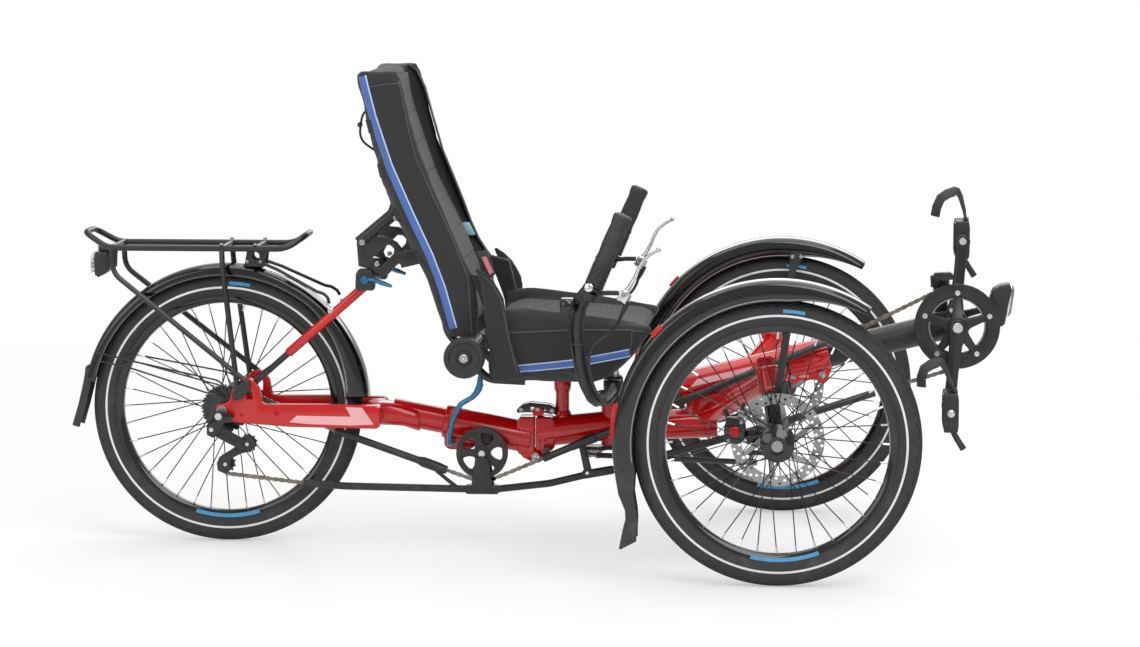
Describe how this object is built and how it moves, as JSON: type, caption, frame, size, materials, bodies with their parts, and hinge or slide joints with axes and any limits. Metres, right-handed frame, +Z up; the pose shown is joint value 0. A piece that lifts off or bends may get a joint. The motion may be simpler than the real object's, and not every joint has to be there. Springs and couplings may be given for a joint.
{
  "type": "folding recumbent trike",
  "caption": "Low three-wheeled recumbent cycle with bucket seat, under-seat steering, telescoping hinged frame, rack, mudguards and lamps.",
  "frame": {"origin": "on the ground under the middle of the whole machine", "axes": "+X forward, +Y to the rider's left, +Z up"},
  "size_m": [1.704, 0.846, 0.876],
  "materials": {
    "frame_red": "gloss",
    "tube_black": "satin",
    "steel": "satin",
    "chain": "oiled",
    "chain_tube": "satin",
    "alloy": "satin",
    "lever_blue": "anodised",
    "guard_black": "gloss",
    "plastic_black": "matt",
    "tyre": "matt",
    "wheel_dark": "satin",
    "grip": "matt",
    "seat_cloth": "woven"
  },
  "bodies": {
    "frame_front": {"frame_front": "frame_red", "seat_rail": "tube_black", "fold_latch": "alloy", "chain_tubes_front": "chain_tube"},
    "frame_middle": {"frame_middle": "frame_red", "idler_bracket": "tube_black", "clamp_lever": "lever_blue", "chain_middle": "chain"},
    "idler": {"idler": "guard_black"},
    "frame_rear": {"frame_rear": "frame_red", "rear_axle": "steel", "seat_stays": "tube_black", "rack": "tube_black", "mudguard_rear": "guard_black", "tail_light": "plastic_black", "rear_derailleur": "plastic_black", "chain_rear": "chain"},
    "wheel_rear": {"tyre_rear": "tyre", "wheel_rear": "wheel_dark", "cassette": "steel"},
    "handlebar": {"handlebar": "tube_black", "grips": "grip", "brake_levers": "plastic_black"},
    "seat": {"seat_back": "seat_cloth", "seat_base": "seat_cloth", "seat_frame": "tube_black"},
    "boom": {"boom": "tube_black", "headlight": "plastic_black", "front_changer": "plastic_black", "chain_front": "chain"},
    "crank": {"crankset": "alloy"},
    "knuckle_right": {"knuckle_right": "tube_black", "mudguard_right": "guard_black"},
    "wheel_right": {"tyre_right": "tyre", "wheel_right": "wheel_dark"},
    "tie_rod_right": {"tie_rod_right": "steel"},
    "roller_right": {"roller_right": "guard_black"},
    "pedal_right": {"pedal_right": "plastic_black"},
    "knuckle_left": {"knuckle_left": "tube_black", "mudguard_left": "guard_black"},
    "wheel_left": {"tyre_left": "tyre", "wheel_left": "wheel_dark"},
    "tie_rod_left": {"tie_rod_left": "steel"},
    "roller_left": {"roller_left": "guard_black"},
    "pedal_left": {"pedal_left": "plastic_black"}
  },
  "joints": [
    {"name": "fold", "type": "hinge", "parent": "frame_front", "child": "frame_middle", "pos_m": [-0.006, 0, 0.161], "axis": [0, -1, 0], "range_deg": [0, 110], "deforming": ["chain_middle"]},
    {"name": "telescope", "type": "slide", "parent": "frame_middle", "child": "frame_rear", "axis": [-0.9823, 0, 0.1874], "range_m": [0, 0.085]},
    {"name": "wheel_rear_spin", "type": "hinge", "parent": "frame_rear", "child": "wheel_rear", "pos_m": [-0.568, 0, 0.245], "axis": [0, 1, 0], "continuous": true},
    {"name": "steering", "type": "hinge", "parent": "frame_front", "child": "handlebar", "pos_m": [0.134, 0, 0.222], "axis": [0, 0, 1], "range_deg": [-20, 20]},
    {"name": "boom_slide", "type": "slide", "parent": "frame_front", "child": "boom", "axis": [0.9703, 0, 0.2419], "range_m": [0, 0.13]},
    {"name": "crank_spin", "type": "hinge", "parent": "boom", "child": "crank", "pos_m": [0.748, 0, 0.408], "axis": [0, 1, 0], "continuous": true},
    {"name": "seat_slide", "type": "slide", "parent": "frame_front", "child": "seat", "axis": [-0.9823, 0, 0.1874], "range_m": [0, 0.085]},
    {"name": "idler_spin", "type": "hinge", "parent": "frame_middle", "child": "idler", "pos_m": [-0.1, -0.045, 0.171], "axis": [0, 1, 0], "continuous": true},
    {"name": "steer_right", "type": "hinge", "parent": "frame_front", "child": "knuckle_right", "pos_m": [0.417, -0.285, 0.34], "axis": [-0.1686, 0.2385, 0.9564], "range_deg": [-26.5, 26.5]},
    {"name": "wheel_right_spin", "type": "hinge", "parent": "knuckle_right", "child": "wheel_right", "pos_m": [0.434, -0.384, 0.245], "axis": [0, 1, 0], "continuous": true},
    {"name": "rod_right", "type": "hinge", "parent": "handlebar", "child": "tie_rod_right", "pos_m": [0.0865, -0.014, 0.165], "axis": [0, 0, 1], "range_deg": [-21.5, 21.5]},
    {"name": "roller_right_spin", "type": "hinge", "parent": "seat", "child": "roller_right", "pos_m": [-0.116, -0.206, 0.364], "axis": [0, 1, 0], "continuous": true},
    {"name": "pedal_right_spin", "type": "hinge", "parent": "crank", "child": "pedal_right", "pos_m": [0.73458, -0.13, 0.26865], "axis": [0, 1, 0], "continuous": true},
    {"name": "steer_left", "type": "hinge", "parent": "frame_front", "child": "knuckle_left", "pos_m": [0.417, 0.285, 0.34], "axis": [-0.1686, -0.2385, 0.9564], "range_deg": [-26.5, 26.5]},
    {"name": "wheel_left_spin", "type": "hinge", "parent": "knuckle_left", "child": "wheel_left", "pos_m": [0.434, 0.384, 0.245], "axis": [0, 1, 0], "continuous": true},
    {"name": "rod_left", "type": "hinge", "parent": "handlebar", "child": "tie_rod_left", "pos_m": [0.0865, 0.014, 0.165], "axis": [0, 0, 1], "range_deg": [-21.5, 21.5]},
    {"name": "roller_left_spin", "type": "hinge", "parent": "seat", "child": "roller_left", "pos_m": [-0.116, 0.206, 0.364], "axis": [0, 1, 0], "continuous": true},
    {"name": "pedal_left_spin", "type": "hinge", "parent": "crank", "child": "pedal_left", "pos_m": [0.76142, 0.13, 0.54736], "axis": [0, 1, 0], "continuous": true}
  ],
  "couplings": [
    {"joint": "seat_slide", "follows": "telescope", "ratio": 1},
    {"joint": "steer_right", "follows": "steering", "ratio": 1.32},
    {"joint": "rod_right", "follows": "steering", "ratio": -1.06},
    {"joint": "steer_left", "follows": "steering", "ratio": 1.32},
    {"joint": "rod_left", "follows": "steering", "ratio": -1.06}
  ]
}
